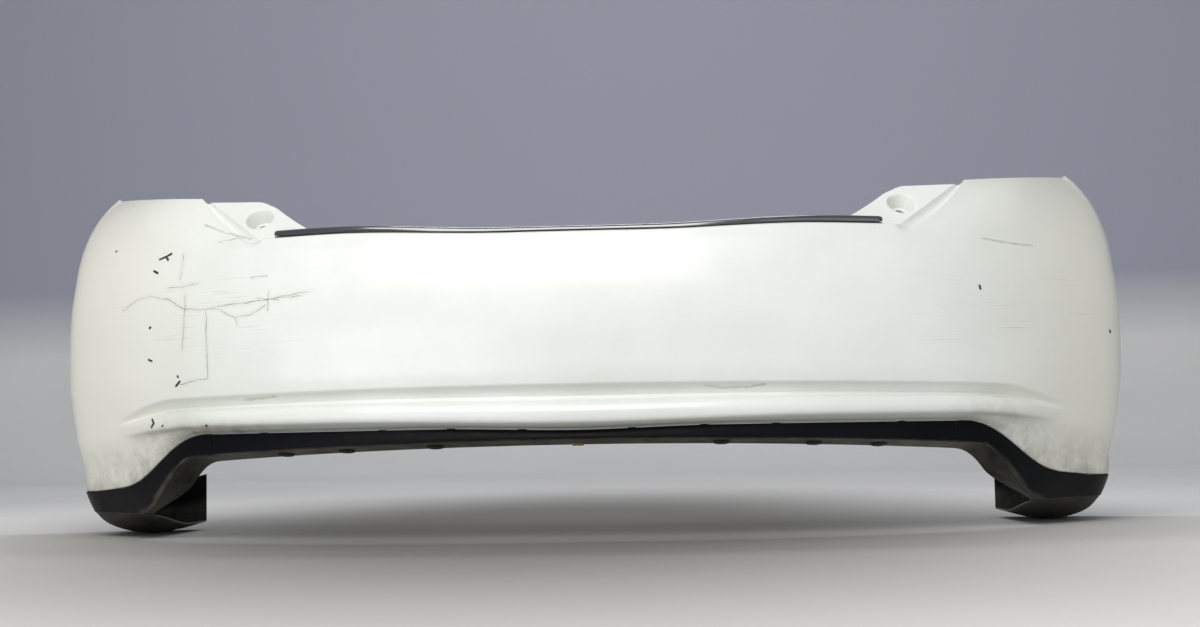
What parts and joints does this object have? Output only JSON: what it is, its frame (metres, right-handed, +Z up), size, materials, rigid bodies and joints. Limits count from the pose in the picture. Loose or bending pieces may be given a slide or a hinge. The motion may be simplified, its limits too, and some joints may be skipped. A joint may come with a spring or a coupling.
{
  "type": "bumper cover",
  "caption": "Painted plastic rear bumper cover that wraps the corners of a hatchback, with black lower trims, a rubber step strip and its clips.",
  "frame": {"origin": "middle of the seat under the top ledge, where the cover rests on the car body", "axes": "+X to the car's right side as seen from behind, +Y forward into the car, +Z up"},
  "size_m": [1.7236, 0.5975, 0.5391],
  "materials": {
    "white_paint": "glossy pearl white paint on a moulded plastic cover, worn and scratched",
    "black_plastic": "fine-grained black moulded plastic",
    "black_rubber": "satin black rubber",
    "foam_tape": "closed-cell foam tape",
    "collar_steel": "plated steel",
    "spring_steel": "phosphated spring steel",
    "yellow_zinc": "yellow-passivated zinc plate on spring steel",
    "black_nylon": "moulded nylon"
  },
  "bodies": {
    "cover_assembly": {"bumper_cover": "white_paint", "lower_trim_centre": "black_plastic", "lower_trim_left": "black_plastic", "lower_trim_right": "black_plastic", "top_strip": "black_rubber", "top_strip_tape": "foam_tape", "cup_collar_left": "collar_steel", "cup_collar_right": "collar_steel", "centre_nut_clip": "yellow_zinc", "arch_nut_left_upper": "yellow_zinc", "arch_nut_left_middle": "yellow_zinc", "arch_nut_left_lower": "yellow_zinc", "arch_nut_right_upper": "yellow_zinc", "arch_nut_right_middle": "yellow_zinc", "arch_nut_right_lower": "yellow_zinc", "edge_clip_left_1": "spring_steel", "edge_clip_left_2": "spring_steel", "edge_clip_left_3": "spring_steel", "edge_clip_left_4": "spring_steel", "edge_clip_right_1": "spring_steel", "edge_clip_right_2": "spring_steel", "edge_clip_right_3": "spring_steel", "edge_clip_right_4": "spring_steel", "push_clip_left_outer": "black_nylon", "push_clip_left_middle": "black_nylon", "push_clip_left_inner": "black_nylon", "push_clip_right_outer": "black_nylon", "push_clip_right_middle": "black_nylon", "push_clip_right_inner": "black_nylon"},
    "pin_left_outer": {"clip_pin_left_outer": "black_nylon"},
    "pin_left_middle": {"clip_pin_left_middle": "black_nylon"},
    "pin_left_inner": {"clip_pin_left_inner": "black_nylon"},
    "pin_right_outer": {"clip_pin_right_outer": "black_nylon"},
    "pin_right_middle": {"clip_pin_right_middle": "black_nylon"},
    "pin_right_inner": {"clip_pin_right_inner": "black_nylon"}
  },
  "joints": [
    {"name": "clip_pin_left_outer_slide", "type": "slide", "parent": "cover_assembly", "child": "pin_left_outer", "axis": [-0.0171, -0.1617, -0.9867], "range_m": [0, 0.006]},
    {"name": "clip_pin_left_middle_slide", "type": "slide", "parent": "cover_assembly", "child": "pin_left_middle", "axis": [-0.0068, -0.161, -0.9869], "range_m": [0, 0.006]},
    {"name": "clip_pin_left_inner_slide", "type": "slide", "parent": "cover_assembly", "child": "pin_left_inner", "axis": [0.0007, -0.159, -0.9873], "range_m": [0, 0.006]},
    {"name": "clip_pin_right_outer_slide", "type": "slide", "parent": "cover_assembly", "child": "pin_right_outer", "axis": [0.0171, -0.1617, -0.9867], "range_m": [0, 0.006]},
    {"name": "clip_pin_right_middle_slide", "type": "slide", "parent": "cover_assembly", "child": "pin_right_middle", "axis": [0.0068, -0.161, -0.9869], "range_m": [0, 0.006]},
    {"name": "clip_pin_right_inner_slide", "type": "slide", "parent": "cover_assembly", "child": "pin_right_inner", "axis": [-0.0007, -0.159, -0.9873], "range_m": [0, 0.006]}
  ]
}
